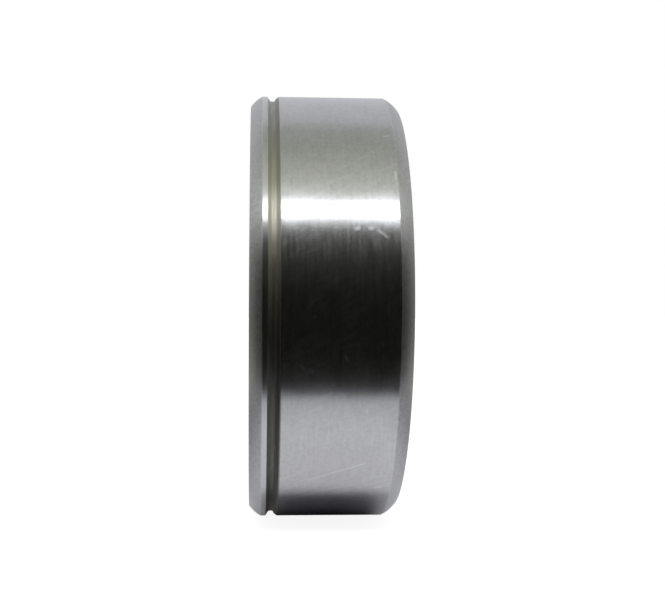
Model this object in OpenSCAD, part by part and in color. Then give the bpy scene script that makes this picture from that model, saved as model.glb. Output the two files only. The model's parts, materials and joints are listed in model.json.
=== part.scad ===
// Needle roller bearing with machined rings.
// The outer ring has two integral ribs and a retaining groove near one end.
// A pressed sheet-steel cage with an M-shaped section carries the needles,
// which run between the outer ring and a removable plain inner ring.
// Millimetres. The bearing axis is X, the origin is the centre of the bearing,
// and the retaining groove is at the -X end.

/* [Boundary] */
// Outside diameter, the seat in the housing
outer_d = 65; // [64:0.5:68]
// Bore diameter, the seat on the shaft
bore_d = 40; // [36:0.5:43]
// Width of both rings
width = 22; // [21.5:0.5:25]

/* [Outer ring] */
// Radial height of the outside corners
corner_radial = 1.55; // [1:0.05:1.8]
// Axial length of the outside corner beside the groove
corner_near = 1.75; // [1.2:0.05:2.1]
// Axial length of the outside corner at the plain end
corner_far = 1.95; // [1.2:0.05:2.4]
// Radius of the slight crown on the outside corners
corner_crown = 5; // [3:0.5:20]
// Axial thickness of each rib
rib_w = 2.3; // [1.6:0.1:2.4]
// How far each rib stands in from the raceway
rib_height = 1.4; // [1:0.1:1.7]
// Size of the rounded corners at the ribs' bore
rib_corner = 0.35; // [0.2:0.05:0.5]
// Radius of the grinding relief where a rib meets the raceway
relief_r = 0.3; // [0.1:0.05:0.4]

/* [Retaining groove] */
// Distance from the -X face to the groove's near edge
groove_from_face = 2.45; // [2.2:0.05:2.8]
// Width of the groove at the outside diameter
groove_width = 1.75; // [1.7:0.05:2.2]
// Depth of the groove below the outside diameter
groove_depth = 0.72; // [0.6:0.02:0.76]
// Lean of the groove's near wall from square, in degrees
near_lean = 35; // [25:1:38]
// Lean of the groove's far wall from square, in degrees
far_lean = 15; // [5:1:20]
// Axial length of the chamfer above the far wall
far_chamfer_axial = 0.5; // [0.3:0.05:0.55]
// Radial height of that chamfer
far_chamfer_radial = 0.38; // [0.25:0.01:0.4]
// Radius of the groove's two floor corners
groove_floor_r = 0.2; // [0.1:0.02:0.2]

/* [Inner ring] */
// Size of the rounded corners at the bore
bore_corner = 1; // [0.5:0.1:1.2]
// Axial length of the lead-in at each end of the inner raceway
lead_in_axial = 1.6; // [1:0.1:2]
// Radial height of that lead-in
lead_in_radial = 0.45; // [0.2:0.05:0.6]
// Radius of the slight crown on that lead-in
lead_in_crown = 5; // [3:0.5:10]

/* [Needles] */
// Number of needles
needle_count = 28; // [22:1:28]
// Diameter of a needle
needle_d = 4; // [3.8:0.1:4]
// Length of a needle
needle_length = 14.8; // [12:0.1:14.8]
// Size of the rounded edge at a needle's ends
needle_edge = 0.4; // [0.2:0.05:0.6]
// Diameter of the circle through the needles' centres
pitch_d = 54; // [53.8:0.1:54.2]
// Gap between a needle and each raceway
running_gap = 0.02; // [0.01:0.005:0.05]

/* [Cage] */
// Thickness of the cage sheet
sheet = 0.9; // [0.7:0.05:1]
// Gap between the cage and each rib, along the axis
cage_side_gap = 0.1; // [0.05:0.05:0.2]
// Outside diameter of the cage
cage_outer_d = 57; // [56.8:0.1:57.4]
// Inside diameter of the turned-in flange at each end
flange_bore_d = 52.2; // [51:0.1:53]
// Inside diameter of the waist between the two shoulders
waist_bore_d = 50.9; // [50.6:0.1:51.2]
// Axial length of the waist
waist_length = 6; // [4:0.1:6.4]
// Axial length of each slope between the waist and a shoulder
slope_length = 1.9; // [1.4:0.1:2.2]
// Outside size of the bend at each end
bend_r = 0.8; // [0.5:0.1:0.9]
// Gap between a needle and its pocket, all round
pocket_gap = 0.06; // [0.04:0.01:0.1]
// Gap between a needle's end and the pocket's end
pocket_end_gap = 0.1; // [0.05:0.05:0.2]

/* [Hidden] */
$fn = 96;
overrun = 0.5;
// An arc this many times its corner's size stands in for a full quarter round
soft = 1.08;

outer_r = outer_d / 2;
bore_r = bore_d / 2;
half_w = width / 2;
pitch_r = pitch_d / 2;
needle_r = needle_d / 2;
outer_race_r = pitch_r + needle_r + running_gap;
inner_race_r = pitch_r - needle_r - running_gap;
rib_r = outer_race_r - rib_height;
channel_half = half_w - rib_w;

groove_near_x = -half_w + groove_from_face;
groove_far_x = groove_near_x + groove_width;
groove_straight = groove_depth - groove_floor_r;
chamfer_foot_x = groove_far_x - far_chamfer_axial;
// Where the far wall, carried on upwards, would reach the outside diameter
far_wall_x = chamfer_foot_x + far_chamfer_radial * tan(far_lean);
groove_mid_x = (groove_near_x + floor_corner(near_lean) + far_wall_x - floor_corner(far_lean)) / 2;
// How far the groove's two halves run past each other
overlap = 0.05;

cage_half = channel_half - cage_side_gap;
cage_outer_r = cage_outer_d / 2;
flange_bore_r = flange_bore_d / 2;
waist_bore_r = waist_bore_d / 2;
waist_half = waist_length / 2;
shoulder_start = waist_half + slope_length;
pocket_r = needle_r + pocket_gap;
pocket_length = needle_length + 2 * pocket_end_gap;

function two_digits(n) = n < 10 ? str("0", n) : str(n);
NEEDLES = [for (i = [1 : needle_count]) str("needle_", two_digits(i))];

// Turns a section, drawn as radius against place along the axis, about X
module turned() {
    rotate([0, 90, 0]) rotate_extrude() children();
}

// Its children at the +X end of a section, and mirrored at the -X end
module both_ends() {
    children();
    mirror([0, 1]) children();
}

// What a corner loses: the corner is at the origin with the metal towards
// +radius and +axis, and the new surface is an arc between its two ends
module corner_cut(radial, axial, arc_r) {
    chord = norm([radial, axial]);
    back = sqrt(pow(arc_r, 2) - pow(chord / 2, 2));
    centre = [radial / 2, axial / 2] + back * [axial, radial] / chord;
    difference() {
        polygon([
            [-overrun, -overrun],
            [radial, -overrun],
            [radial, 0],
            [0, axial],
            [-overrun, axial]
        ]);
        translate(centre) circle(arc_r);
    }
}

// A corner cut at a section's outside corner, at the +X end
module outside_corner_cut(r, x, radial, axial, arc_r) {
    translate([r, x]) mirror([1, 0]) mirror([0, 1])
        corner_cut(radial, axial, arc_r);
}

// A corner cut at a section's bore corner, at the +X end
module bore_corner_cut(r, x, radial, axial, arc_r) {
    translate([r, x]) mirror([0, 1]) corner_cut(radial, axial, arc_r);
}

// How far inside a leaning wall's edge its floor corner is centred
function floor_corner(lean) = groove_straight * tan(lean) + groove_floor_r / cos(lean);

// Half of the groove's section: from its edge down a leaning wall and round
// the floor corner, with the groove's inside towards +axis
module groove_side(lean, inside) {
    corner_x = floor_corner(lean);
    wall_r = -groove_straight - groove_floor_r * sin(lean);
    wall_x = corner_x - groove_floor_r * cos(lean);
    translate([outer_r, 0]) {
        translate([-groove_straight, corner_x]) circle(groove_floor_r);
        polygon([
            [overrun, -overrun * tan(lean)],
            [wall_r, wall_x],
            [-groove_straight, corner_x],
            [-groove_depth, corner_x],
            [-groove_depth, inside],
            [overrun, inside]
        ]);
    }
}

// The chamfer that opens the groove above its far wall
module far_chamfer_section() {
    slope = far_chamfer_axial / far_chamfer_radial;
    polygon([
        [outer_r - far_chamfer_radial, chamfer_foot_x],
        [outer_r + overrun, groove_far_x + overrun * slope],
        [outer_r + overrun, groove_mid_x],
        [outer_r - far_chamfer_radial, groove_mid_x]
    ]);
}

module groove_section() {
    translate([0, groove_near_x])
        groove_side(near_lean, groove_mid_x - groove_near_x + overlap);
    translate([0, far_wall_x]) mirror([0, 1])
        groove_side(far_lean, far_wall_x - groove_mid_x + overlap);
    far_chamfer_section();
}

module outer_ring_section() {
    difference() {
        translate([rib_r, -half_w]) square([outer_r - rib_r, width]);
        translate([rib_r - overrun, -channel_half])
            square([outer_race_r - rib_r + overrun, 2 * channel_half]);
        both_ends() {
            translate([outer_race_r, channel_half]) circle(relief_r);
            bore_corner_cut(rib_r, half_w, rib_corner, rib_corner, rib_corner * soft);
        }
        outside_corner_cut(outer_r, half_w, corner_radial, corner_far, corner_crown);
        mirror([0, 1])
            outside_corner_cut(outer_r, half_w, corner_radial, corner_near, corner_crown);
        groove_section();
    }
}

module outer_ring() {
    color("silver") turned() outer_ring_section();
}

module inner_ring_section() {
    difference() {
        translate([bore_r, -half_w]) square([inner_race_r - bore_r, width]);
        both_ends() {
            bore_corner_cut(bore_r, half_w, bore_corner, bore_corner, bore_corner * soft);
            outside_corner_cut(inner_race_r, half_w, lead_in_radial, lead_in_axial, lead_in_crown);
        }
    }
}

module inner_ring() {
    color("gainsboro") turned() inner_ring_section();
}

// The cage's section from its middle to its +X end, inside first
half_cage = [
    [waist_bore_r, waist_half],
    [cage_outer_r - sheet, shoulder_start],
    [cage_outer_r - sheet, cage_half - sheet],
    [flange_bore_r, cage_half - sheet],
    [flange_bore_r, cage_half],
    [cage_outer_r, cage_half],
    [cage_outer_r, shoulder_start],
    [waist_bore_r + sheet, waist_half]
];

module cage_section() {
    last = len(half_cage) - 1;
    other_half = [for (i = [last : -1 : 0]) [half_cage[i].x, -half_cage[i].y]];
    difference() {
        polygon(concat(half_cage, other_half));
        both_ends() outside_corner_cut(cage_outer_r, cage_half, bend_r, bend_r, bend_r * soft);
    }
}

// Its children, drawn about the X axis, at the place of needle number i
module at_needle(i) {
    rotate([360 / needle_count * (i - 1), 0, 0]) translate([0, 0, pitch_r]) children();
}

module cage() {
    color("dimgray") difference() {
        turned() cage_section();
        for (i = [1 : needle_count])
            at_needle(i) rotate([0, 90, 0]) cylinder(r = pocket_r, h = pocket_length, center = true);
    }
}

module needle() {
    color("lightsteelblue") turned() difference() {
        translate([0, -needle_length / 2]) square([needle_r, needle_length]);
        both_ends()
            outside_corner_cut(needle_r, needle_length / 2, needle_edge, needle_edge, needle_edge * soft);
    }
}

outer_ring();
inner_ring();
cage();
for (i = [1 : needle_count])
    at_needle(i) needle();
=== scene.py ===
"""Needle roller bearing with machined rings, standing on its rim in a studio.

The CAD nodes are shown as they are and get procedural steel finishes. The
bearing's axis is X and its centre is the origin. Lengths inside materials are
millimetres of the row frame.
"""

import json
import math

import bpy
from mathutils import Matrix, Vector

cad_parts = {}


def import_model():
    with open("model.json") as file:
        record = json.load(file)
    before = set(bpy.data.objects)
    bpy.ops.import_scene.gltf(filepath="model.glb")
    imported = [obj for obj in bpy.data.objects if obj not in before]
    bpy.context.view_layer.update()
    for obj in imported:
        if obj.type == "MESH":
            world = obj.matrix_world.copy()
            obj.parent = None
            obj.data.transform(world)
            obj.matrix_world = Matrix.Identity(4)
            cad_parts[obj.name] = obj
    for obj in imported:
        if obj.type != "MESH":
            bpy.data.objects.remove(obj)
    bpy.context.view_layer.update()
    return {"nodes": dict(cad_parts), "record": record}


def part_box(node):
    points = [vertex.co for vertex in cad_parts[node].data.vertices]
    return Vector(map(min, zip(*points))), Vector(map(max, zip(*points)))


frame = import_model()
nodes = frame["nodes"]
record = frame["record"]
mounts = {m["name"]: m for m in record["mounts"]}

MM = 0.001
outer_low, outer_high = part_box("outer_ring")
OUTER_R = (outer_high[2] - outer_low[2]) / 2 / MM
HALF_W = (outer_high[0] - outer_low[0]) / 2 / MM
BORE_R = mounts["shaft_bore"]["dims"]["r_mm"]
inner_low, inner_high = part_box("inner_ring")
RACE_R = (inner_high[2] - inner_low[2]) / 2 / MM
SEAT_MID = mounts["housing_seat"]["pos_m"][0] / MM
SEAT_HALF = mounts["housing_seat"]["dims"]["length_mm"] / 2
GROOVE_MID = mounts["retaining_groove"]["pos_m"][0] / MM
GROOVE_FAR = SEAT_MID - SEAT_HALF
GROOVE_NEAR = 2 * GROOVE_MID - GROOVE_FAR

DEGREES = 180 / math.pi
# How far inside a ground surface's radius or face its finish fades in
SURFACE_SKIN = 0.03
# How far below the seat the outer ring's turned outside surfaces reach
OUTSIDE_DEPTH = 2.0
# The render's noise filter treats steel differently above and below a roughness
# of about 0.27, so no one surface has roughnesses on both sides of it
ROUGHER_SIDE = 0.28
SMOOTHER_SIDE = 0.265


# --- Node building -----------------------------------------------------------


class Nodes:
    """Builds a node tree from plain calls. A value is a number or a socket."""

    def __init__(self, tree):
        self.tree = tree

    def add(self, kind, **settings):
        node = self.tree.nodes.new(kind)
        for key, value in settings.items():
            setattr(node, key, value)
        return node

    def plug(self, socket, value):
        if isinstance(value, bpy.types.NodeSocket):
            self.tree.links.new(value, socket)
        elif value is not None:
            socket.default_value = value

    def math(self, operation, *values, clamp=False):
        node = self.add("ShaderNodeMath", operation=operation, use_clamp=clamp)
        for socket, value in zip(node.inputs, values):
            self.plug(socket, value)
        return node.outputs[0]

    def total(self, *values):
        out = values[0]
        for value in values[1:]:
            out = self.math("ADD", out, value)
        return out

    def times(self, *values):
        out = values[0]
        for value in values[1:]:
            out = self.math("MULTIPLY", out, value)
        return out

    def ramp(self, value, low, high, to_low=0.0, to_high=1.0):
        """A smooth step from to_low at low to to_high at high."""
        node = self.add("ShaderNodeMapRange", interpolation_type="SMOOTHSTEP")
        for name, v in (
            ("Value", value),
            ("From Min", low),
            ("From Max", high),
            ("To Min", to_low),
            ("To Max", to_high),
        ):
            self.plug(node.inputs[name], v)
        return node.outputs[0]

    def band(self, value, low, high, soft):
        """1 between low and high, falling to 0 over soft outside them."""
        return self.times(
            self.ramp(value, low - soft, low),
            self.ramp(value, high, high + soft, 1.0, 0.0),
        )

    def mix(self, factor, a, b):
        """Mixes two numbers."""
        node = self.add("ShaderNodeMix", data_type="FLOAT")
        for socket, value in zip(node.inputs[:4], (factor, None, a, b)):
            if value is not None:
                self.plug(socket, value)
        return node.outputs[0]

    def tint(self, factor, a, b, blend="MIX"):
        """Mixes two colours."""
        node = self.add("ShaderNodeMix", data_type="RGBA", blend_type=blend)
        self.plug(node.inputs[0], factor)
        for socket, value in ((node.inputs[6], a), (node.inputs[7], b)):
            if isinstance(value, tuple) and len(value) == 3:
                value = (*value, 1.0)
            self.plug(socket, value)
        return node.outputs[2]

    def off(self, *values):
        """How far each value is from 0.5, the middle of a noise."""
        return tuple(self.math("SUBTRACT", value, 0.5) for value in values)

    def join(self, x, y, z):
        node = self.add("ShaderNodeCombineXYZ")
        for socket, value in zip(node.inputs, (x, y, z)):
            self.plug(socket, value)
        return node.outputs[0]

    def noise(self, vector, scale, detail=2.0, rough=0.5):
        """Smooth noise about 0.5."""
        node = self.add("ShaderNodeTexNoise")
        self.plug(node.inputs["Vector"], vector)
        self.plug(node.inputs["Scale"], scale)
        self.plug(node.inputs["Detail"], detail)
        self.plug(node.inputs["Roughness"], rough)
        return node.outputs["Fac"]


def place(n):
    """x, y, z in mm of the row frame, the radius about the axis and a vector."""
    scale = n.add("ShaderNodeVectorMath", operation="SCALE")
    n.plug(scale.inputs[0], n.add("ShaderNodeTexCoord").outputs["Object"])
    scale.inputs["Scale"].default_value = 1 / MM
    split = n.add("ShaderNodeSeparateXYZ")
    n.plug(split.inputs[0], scale.outputs[0])
    x, y, z = split.outputs
    radius = n.math("SQRT", n.total(n.times(y, y), n.times(z, z)))
    return x, y, z, radius, scale.outputs[0]


def steel(name, build, anisotropic=0.0, rotation=0.25):
    """A metal whose colour, roughness and height in mm come from build."""
    material = bpy.data.materials.new(name)
    material.use_nodes = True
    tree = material.node_tree
    tree.nodes.clear()
    n = Nodes(tree)
    shader = n.add("ShaderNodeBsdfPrincipled")
    shader.inputs["Metallic"].default_value = 1.0
    colour, roughness, height = build(n)
    n.plug(shader.inputs["Base Color"], colour)
    n.plug(shader.inputs["Roughness"], roughness)
    if anisotropic:
        shader.inputs["Anisotropic"].default_value = anisotropic
        shader.inputs["Anisotropic Rotation"].default_value = rotation
        tangent = n.add("ShaderNodeTangent", direction_type="RADIAL", axis="X")
        n.plug(shader.inputs["Tangent"], tangent.outputs[0])
    if height is not None:
        bump = n.add("ShaderNodeBump")
        bump.inputs["Distance"].default_value = MM
        n.plug(bump.inputs["Height"], height)
        n.plug(shader.inputs["Normal"], bump.outputs[0])
    out = n.add("ShaderNodeOutputMaterial")
    n.plug(out.inputs["Surface"], shader.outputs[0])
    return material


def finish(node, material):
    """Gives a CAD node its finish."""
    for slot in nodes[node].material_slots:
        slot.material = material


# --- Finishes ----------------------------------------------------------------

# Each pair of colours is the darkest and the lightest of a mottled surface
SEAT_STEEL = ((0.515, 0.515, 0.51), (0.60, 0.60, 0.595))
MARKED_STEEL = (0.78, 0.78, 0.76)
TURNED_STEEL = ((0.44, 0.44, 0.43), (0.60, 0.60, 0.59))
GROOVE_TOP = ((0.44, 0.435, 0.395), (0.52, 0.515, 0.465))
GROOVE_STRAW = ((0.51, 0.49, 0.395), (0.58, 0.56, 0.455))
# Painted highlight: the groove's colour in a lighter band round the ring
GROOVE_PAINTED_HIGHLIGHT = (0.82, 0.80, 0.70)
# Painted shade: the groove's colour on the lower part of the ring
GROOVE_PAINTED_SHADE = ((0.15, 0.147, 0.125), (0.21, 0.206, 0.175))
# Painted shade: near-black for the groove's far wall
GROOVE_FAR_WALL_PAINTED_SHADE = (0.05, 0.05, 0.044)
# Painted shade: a dark line on the seat along the groove's far edge
SEAT_EDGE_PAINTED_SHADE = (0.08, 0.08, 0.08)
INNER_STEEL = ((0.54, 0.54, 0.535), (0.62, 0.62, 0.615))
CAGE_STEEL = ((0.33, 0.325, 0.30), (0.47, 0.465, 0.44))
NEEDLE_STEEL = ((0.60, 0.60, 0.60), (0.68, 0.68, 0.68))

def streaks(n, x, y, z, fine, around, detail=1.0):
    """Noise drawn out into lines that run round the axis."""
    vector = n.join(n.times(x, fine), n.times(y, around), n.times(z, around))
    return n.noise(vector, 1.0, detail, 0.5)


def scratch(n, x, turn, start, end, width, soft=0.5):
    """1 on a straight line between two (x mm, degrees) points of the seat."""
    arc = OUTER_R / DEGREES
    (x0, a0), (x1, a1) = start, end
    run, rise = x1 - x0, (a1 - a0) * arc
    length = math.hypot(run, rise)
    run, rise = run / length, rise / length
    dx = n.math("SUBTRACT", x, x0)
    da = n.times(n.math("SUBTRACT", turn, a0), arc)
    along = n.total(n.times(dx, run), n.times(da, rise))
    across = n.math("ABSOLUTE", n.math("SUBTRACT", n.times(dx, rise), n.times(da, run)))
    line = n.ramp(across, width * 0.4, width, 1.0, 0.0)
    return n.times(line, n.band(along, soft, length - soft, soft))


def dust(n, x, y, z):
    """Small bright specks, one in some of the cells of a Voronoi pattern."""
    cells = n.add("ShaderNodeTexVoronoi")
    n.plug(cells.inputs["Vector"], n.join(n.times(x, 0.42), n.times(y, 0.3), n.times(z, 0.3)))
    n.plug(cells.inputs["Scale"], 1.0)
    n.plug(cells.inputs["Randomness"], 1.0)
    pick = n.add("ShaderNodeSeparateColor")
    n.plug(pick.inputs[0], cells.outputs["Color"])
    return n.times(
        n.ramp(cells.outputs["Distance"], 0.04, 0.15, 1.0, 0.0),
        n.ramp(pick.outputs[0], 0.6, 1.0, 0.0, 0.6),
    )


# Handling marks on the seat: start and end as (x in mm, degrees up from the
# front), width in mm and how bright the mark is
MARKS = (
    ((-3.0, -48.3), (5.0, -41.7), 0.17, 0.8),
    ((-1.6, -54.0), (2.2, -51.5), 0.22, 0.6),
    ((6.5, -52.2), (8.0, -51.6), 0.32, 1.0),
    ((7.4, 46.8), (8.7, 47.7), 0.26, 0.8),
    ((8.7, 31.6), (8.8, 35.0), 0.18, 1.0),
    ((1.5, -10.9), (2.1, -13.2), 0.2, 0.8),
    ((-3.5, -1.0), (-2.2, 2.0), 0.22, 0.35),
    ((2.8, 18.2), (3.8, 19.0), 0.34, 0.9),
    ((4.6, 18.4), (5.6, 18.9), 0.36, 0.9),
    ((5.8, 18.5), (7.6, 16.0), 0.3, 0.5),
    ((-4.4, -13.4), (-3.5, -15.2), 0.26, 0.45),
    ((-2.8, -14.6), (-2.4, -16.0), 0.3, 0.45),
)


def outer_ring_look(n):
    x, y, z, radius, here = place(n)
    turn = n.times(n.math("ARCTAN2", z, n.times(y, -1.0)), DEGREES)
    outside = n.ramp(radius, OUTER_R - 1.1 * OUTSIDE_DEPTH, OUTER_R - OUTSIDE_DEPTH)
    on_seat = n.ramp(radius, OUTER_R - 2 * SURFACE_SKIN, OUTER_R - SURFACE_SKIN)
    on_face = n.ramp(n.math("ABSOLUTE", x), HALF_W - SURFACE_SKIN, HALF_W - SURFACE_SKIN / 3)
    ground = n.math("MAXIMUM", on_seat, on_face)
    in_groove = n.times(
        n.band(x, GROOVE_NEAR, GROOVE_FAR, 0.02),
        n.math("SUBTRACT", 1.0, on_seat),
        outside,
    )
    lay = streaks(n, n.total(x, radius), y, z, 2.0, 0.4)
    hair = streaks(n, n.total(x, radius), y, z, 4.0, 0.2, 0.0)
    blotch = n.noise(here, 0.22, 2.0)
    around = n.times(turn, OUTER_R / DEGREES)
    wiped = n.join(
        n.total(n.times(x, 0.22), n.times(around, 0.11)),
        n.total(n.times(x, -0.75), n.times(around, 1.5)),
        n.times(radius, 0.1),
    )
    scuffs = n.times(
        n.ramp(n.noise(wiped, 1.0, 1.0), 0.5, 0.8),
        n.ramp(n.noise(n.join(n.times(x, 0.12), n.times(around, 0.09), 3.7), 1.0, 0.0), 0.42, 0.62),
        on_seat,
    )
    grain = n.noise(here, 1.9, 1.0, 0.5)
    speck = n.noise(here, 3.4, 0.0)
    wave = n.noise(here, 0.25, 1.0)
    lay_off, hair_off, blotch_off, grain_off, speck_off = n.off(lay, hair, blotch, grain, speck)

    marks = 0.0
    for start, end, width, bright in MARKS:
        marks = n.total(n.times(scratch(n, x, turn, start, end, width), bright), marks)
    marks = n.times(n.math("MINIMUM", n.total(marks, dust(n, x, y, z)), 1.0), on_seat)

    seat_rough = n.total(
        0.308,
        n.times(lay_off, 0.13),
        n.times(hair_off, 0.11),
        n.times(blotch_off, 0.03),
        n.times(scuffs, 0.06),
        n.times(marks, 0.25),
    )
    seat_rough = n.math("MAXIMUM", seat_rough, ROUGHER_SIDE)
    seat_rough = n.total(seat_rough, n.times(on_face, 0.16))
    turned_rough = n.total(
        0.42,
        n.times(grain_off, 0.15),
        n.times(speck_off, 0.08),
        n.times(in_groove, n.total(0.14, n.times(hair_off, 0.3))),
    )
    rough = n.mix(ground, turned_rough, seat_rough)

    seat_mix = n.total(
        0.5,
        n.times(lay_off, n.total(1.1, n.times(on_face, 1.1))),
        n.times(hair_off, on_seat, 0.6),
        n.times(grain_off, 1.7),
        n.times(blotch_off, 0.8),
        n.times(scuffs, 0.9),
        n.times(on_face, 0.8),
        n.times(n.ramp(x, GROOVE_NEAR + 0.1, GROOVE_NEAR - 0.1), 0.5),
    )
    seat_colour = n.tint(seat_mix, *SEAT_STEEL)
    seat_colour = n.tint(marks, seat_colour, MARKED_STEEL)
    turned_mix = n.total(0.5, n.times(grain_off, 1.2), n.times(speck_off, 0.8))
    turned_colour = n.tint(turned_mix, *TURNED_STEEL)
    # Painted shade: the groove darker on the lower part of the ring, easing off again right at the
    # bottom
    groove_painted_shade = n.times(
        n.ramp(z, 0.15 * OUTER_R, -0.5 * OUTER_R), n.ramp(z, -OUTER_R, -0.82 * OUTER_R)
    )
    groove_colour = n.tint(
        n.ramp(z, 0.9 * OUTER_R, 0.45 * OUTER_R),
        n.tint(grain, *GROOVE_TOP),
        n.tint(grain, *GROOVE_STRAW),
    )
    # Painted highlight: the groove lighter in a band from about 0.34 to 0.42 of the radius above
    # the axis, all round the ring
    groove_painted_highlight = n.times(n.band(z, 0.34 * OUTER_R, 0.42 * OUTER_R, 0.1 * OUTER_R), 0.6)
    groove_colour = n.tint(groove_painted_highlight, groove_colour, GROOVE_PAINTED_HIGHLIGHT)
    groove_colour = n.tint(groove_painted_shade, groove_colour, n.tint(grain, *GROOVE_PAINTED_SHADE))
    # Painted shade: the last half millimetre of the groove before its far edge darkened, more so on
    # the lower part of the ring
    far_wall_painted_shade = n.times(
        n.ramp(x, GROOVE_FAR - 0.6, GROOVE_FAR - 0.4), n.total(0.32, n.times(groove_painted_shade, 0.28))
    )
    groove_colour = n.tint(far_wall_painted_shade, groove_colour, GROOVE_FAR_WALL_PAINTED_SHADE)
    # Painted shade: a dark line on the seat along the groove's far edge, on the lower part of the
    # ring
    seat_edge_painted_shade = n.times(n.band(x, GROOVE_FAR, GROOVE_FAR + 0.04, 0.14), groove_painted_shade, outside, 0.7)
    colour = n.tint(ground, turned_colour, seat_colour)
    colour = n.tint(seat_edge_painted_shade, colour, SEAT_EDGE_PAINTED_SHADE)
    colour = n.tint(in_groove, colour, groove_colour)

    height = n.total(
        n.times(wave, 0.02),
        n.times(grain, n.math("SUBTRACT", 1.0, ground), 0.004),
    )
    return colour, rough, height


def inner_ring_look(n):
    x, y, z, radius, here = place(n)
    on_face = n.ramp(n.math("ABSOLUTE", x), HALF_W - SURFACE_SKIN, HALF_W - SURFACE_SKIN / 3)
    in_bore = n.ramp(radius, BORE_R + 2 * SURFACE_SKIN, BORE_R + SURFACE_SKIN)
    on_race = n.ramp(radius, RACE_R - 2 * SURFACE_SKIN, RACE_R - SURFACE_SKIN)
    ground = n.math("MAXIMUM", n.math("MAXIMUM", on_face, in_bore), on_race)
    lay = streaks(n, n.total(x, radius), y, z, 2.0, 0.4)
    hair = streaks(n, n.total(x, radius), y, z, 4.0, 0.2, 0.0)
    blotch = n.noise(here, 0.18, 2.0)
    grain = n.noise(here, 1.9, 1.0)
    lay_off, hair_off, blotch_off, grain_off = n.off(lay, hair, blotch, grain)
    varied = n.total(n.times(lay_off, 0.12), n.times(hair_off, 0.04), n.times(blotch_off, 0.04))
    rough = n.total(n.mix(ground, 0.42, 0.32), n.times(on_face, 0.1), varied)
    rough = n.math("MAXIMUM", rough, ROUGHER_SIDE)
    bore_rough = n.math("MINIMUM", n.total(0.23, n.times(varied, 0.8)), SMOOTHER_SIDE)
    rough = n.mix(n.math("MAXIMUM", in_bore, on_race), rough, bore_rough)
    mixed = n.total(
        0.5,
        n.times(lay_off, n.total(1.2, on_face)),
        n.times(grain_off, 1.4),
        n.times(blotch_off, 1.0),
        n.times(on_face, 0.5),
    )
    colour = n.tint(mixed, *INNER_STEEL)
    height = n.times(grain, n.math("SUBTRACT", 1.0, ground), 0.003)
    return colour, rough, height


def cage_look(n):
    x, y, z, _, here = place(n)
    grain = n.noise(here, 1.5, 2.0, 0.6)
    drawn = streaks(n, x, y, z, 0.5, 1.4)
    rough = n.total(
        0.44,
        n.times(n.math("SUBTRACT", grain, 0.5), 0.2),
        n.times(n.math("SUBTRACT", drawn, 0.5), 0.1),
    )
    colour = n.tint(n.total(n.times(grain, 0.6), n.times(drawn, 0.4)), *CAGE_STEEL)
    return colour, rough, n.times(grain, 0.003)


def needle_look(n):
    x, y, z = place(n)[:3]
    grain = n.noise(n.join(n.times(x, 3.0), y, z), 1.0, 2.0, 0.5)
    rough = n.total(0.18, n.times(n.math("SUBTRACT", grain, 0.5), 0.08))
    colour = n.tint(grain, *NEEDLE_STEEL)
    return colour, rough, None


finish("outer_ring", steel("outer_ring_steel_look", outer_ring_look, 0.8))
finish("inner_ring", steel("inner_ring_steel_look", inner_ring_look, 0.8))
finish("cage", steel("cage_steel_look", cage_look))
needle_steel = steel("needle_steel_look", needle_look)
for name in nodes:
    if name.startswith("needle_"):
        finish(name, needle_steel)


# --- Studio ------------------------------------------------------------------


def plane(name, low, high, height, material):
    mesh = bpy.data.meshes.new(name)
    corners = [
        (low[0], low[1], height),
        (high[0], low[1], height),
        (high[0], high[1], height),
        (low[0], high[1], height),
    ]
    mesh.from_pydata(corners, [], [(0, 1, 2, 3)])
    mesh.materials.append(material)
    obj = bpy.data.objects.new(name, mesh)
    bpy.context.scene.collection.objects.link(obj)
    return obj


def matte(name, colour, glow=0.0):
    material = bpy.data.materials.new(name)
    material.use_nodes = True
    shader = material.node_tree.nodes["Principled BSDF"]
    shader.inputs["Base Color"].default_value = (*colour, 1.0)
    shader.inputs["Roughness"].default_value = 1.0
    shader.inputs["Specular IOR Level"].default_value = 0.0
    shader.inputs["Emission Color"].default_value = (1.0, 1.0, 1.0, 1.0)
    shader.inputs["Emission Strength"].default_value = glow
    return material


R = OUTER_R * MM
FLOOR = -R
STAGE_HALF = 3
TABLE_SIDE = 1.8 * R
TABLE_FRONT = -1.51 * R
# Keeps the table just clear of the sheet above it
TABLE_DROP = 0.0001


def table_look():
    """White paper that glows a little in front of the bearing, darker at the
    sides and in the shade under it."""
    material = matte("table_white", (0.84, 0.84, 0.90))
    shader = material.node_tree.nodes["Principled BSDF"]
    n = Nodes(material.node_tree)
    split = n.add("ShaderNodeSeparateXYZ")
    n.plug(split.inputs[0], n.add("ShaderNodeTexCoord").outputs["Object"])
    x, y = split.outputs[:2]
    sideways = n.math("ABSOLUTE", x)
    aside = n.ramp(sideways, 0.2 * R, 1.4 * R)
    under = n.times(
        n.ramp(y, -0.56 * R, -0.42 * R),
        n.total(
            n.times(n.ramp(sideways, 0.45 * R, 0.3 * R), 0.4),
            n.times(n.band(x, -0.2 * R, 0.2 * R, 0.13 * R), 0.6),
        ),
    )
    lit = n.times(
        n.ramp(y, -1.6 * R, -0.9 * R, 0.1, 0.34),
        n.math("SUBTRACT", 1.0, aside),
        n.math("SUBTRACT", 1.0, under),
    )
    paper = n.tint(aside, (0.85, 0.84, 0.945), (0.5, 0.495, 0.55))
    shade = n.total(n.times(under, 0.3), n.ramp(x, -0.25 * R, -0.55 * R, 0.0, 0.22))
    n.plug(shader.inputs["Base Color"], n.tint(shade, paper, (0.0, 0.0, 0.0)))
    n.plug(shader.inputs["Emission Strength"], lit)
    return material


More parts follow.
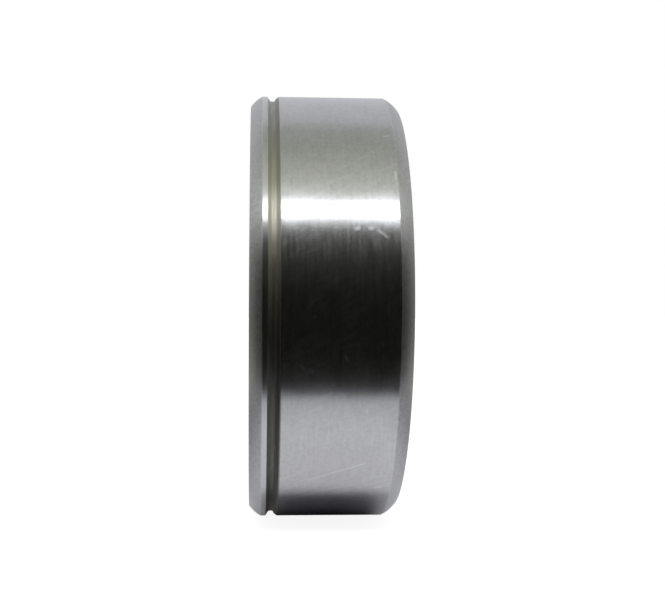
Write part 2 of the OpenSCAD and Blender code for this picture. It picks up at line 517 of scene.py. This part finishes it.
def floor():
    """The sheet that the camera sees, and under it the table that the steel
    mirrors, which ends a little way in front of the bearing."""
    corner = (STAGE_HALF, STAGE_HALF)
    paper = matte("sheet_paper", (0.3, 0.3, 0.3), 0.9)
    sheet = plane("sheet", (-STAGE_HALF, -STAGE_HALF), corner, FLOOR, paper)
    for ray in ("glossy", "diffuse", "shadow", "transmission"):
        setattr(sheet, "visible_" + ray, False)
    low, high = (-TABLE_SIDE, TABLE_FRONT), (TABLE_SIDE, STAGE_HALF)
    table = plane("table", low, high, FLOOR - TABLE_DROP, table_look())
    table.visible_camera = False


# Where the lights stand: degrees up from the horizon in front, or how far to
# the side of straight ahead, from -1 to 1, and how bright each is
TUBE_ANGLES = (51.0, 51.7)
TUBE_SPAN = (-0.25, 0.27)
TUBE_POWER = 23.0
SIDE_TUBE_ANGLES = (50.0, 54.0)
SIDE_TUBE_SPAN = (0.68, 0.84)
SIDE_TUBE_POWER = 1.6


def world():
    """A dark room with a broad ceiling panel that leans back to the horizon
    behind the bearing, a bright tube along the panel's front edge, and a fainter
    tube at each side."""
    w = bpy.data.worlds.new("studio")
    bpy.context.scene.world = w
    w.use_nodes = True
    tree = w.node_tree
    tree.nodes.clear()
    n = Nodes(tree)
    coords = n.add("ShaderNodeTexCoord").outputs["Generated"]
    split = n.add("ShaderNodeSeparateXYZ")
    n.plug(split.inputs[0], coords)
    dx, dy, dz = split.outputs
    # The angle up from the horizon in front, over the top, to the one behind
    over = n.times(n.math("ARCTAN2", dz, n.times(dy, -1.0)), DEGREES)
    # 0 on the panel's edge, positive on the panel
    inside = n.math("SUBTRACT", n.total(n.times(dy, 0.427), dz), 0.4226)
    panel = n.ramp(inside, -0.06, 0.05)
    light = n.total(
        n.times(n.ramp(over, 60.0, 100.0, 0.72, 0.44), n.ramp(dx, -0.9, -0.3, 1.18, 1.0)),
        n.ramp(over, 107.0, 119.0, 0.0, 0.22),
        n.ramp(over, 122.0, 180.0, 0.0, 0.05),
    )
    tube = n.times(n.band(over, *TUBE_ANGLES, 1.5), n.band(dx, *TUBE_SPAN, 0.15))
    aside = n.math("ABSOLUTE", dx)
    side_tube = n.times(n.band(over, *SIDE_TUBE_ANGLES, 2.0), n.band(aside, *SIDE_TUBE_SPAN, 0.08))
    room = n.total(
        n.ramp(over, 2.0, 30.0, 0.007, 0.021),
        n.ramp(over, 26.0, 42.0, 0.0, 0.05),
        n.times(n.ramp(aside, 0.3, 0.9), n.ramp(dy, -0.34, 0.75, 0.022, 0.64)),
        n.times(n.ramp(aside, 0.6, 0.85), n.ramp(dy, -0.1, 0.3), n.ramp(dz, 0.0, -0.35), 0.4),
    )
    strength = n.total(
        n.mix(panel, room, light),
        n.times(tube, TUBE_POWER),
        n.times(side_tube, SIDE_TUBE_POWER),
    )
    olive_to_blue = n.tint(n.ramp(over, 104.0, 120.0), (0.97, 1.0, 0.91), (0.975, 1.0, 1.06))
    dark_hue = n.tint(n.ramp(aside, 0.3, 0.9), (1.03, 1.0, 0.82), (0.985, 1.0, 0.91))
    hue = n.tint(panel, dark_hue, olive_to_blue)
    on_tube = n.math("MINIMUM", n.times(n.total(tube, side_tube), 20.0), 1.0)
    hue = n.tint(on_tube, hue, (0.97, 0.99, 1.07))
    seen = n.add("ShaderNodeBackground")
    seen.inputs["Color"].default_value = (1.0, 1.0, 1.0, 1.0)
    lit = n.add("ShaderNodeBackground")
    n.plug(lit.inputs["Color"], hue)
    n.plug(lit.inputs["Strength"], strength)
    choose = n.add("ShaderNodeMixShader")
    n.plug(choose.inputs[0], n.add("ShaderNodeLightPath").outputs["Is Camera Ray"])
    n.plug(choose.inputs[1], lit.outputs[0])
    n.plug(choose.inputs[2], seen.outputs[0])
    out = n.add("ShaderNodeOutputWorld")
    n.plug(out.inputs["Surface"], choose.outputs[0])


# Fitted to the outline of the ring: lens in mm, place in metres, turn in degrees
CAMERA_LENS = 64.07
CAMERA_PLACE = (-0.00983, -0.1868, 0.00004)
CAMERA_TURN = (90.054, -0.28, -3.613)
CLIP_START = 0.005


def camera():
    data = bpy.data.cameras.new("camera")
    data.lens = CAMERA_LENS
    data.clip_start = CLIP_START
    eye = bpy.data.objects.new("camera", data)
    eye.location = CAMERA_PLACE
    eye.rotation_euler = tuple(math.radians(angle) for angle in CAMERA_TURN)
    bpy.context.scene.collection.objects.link(eye)
    bpy.context.scene.camera = eye


floor()
world()
camera()

settings = bpy.context.scene.view_settings
settings.view_transform = "Standard"
settings.look = "None"
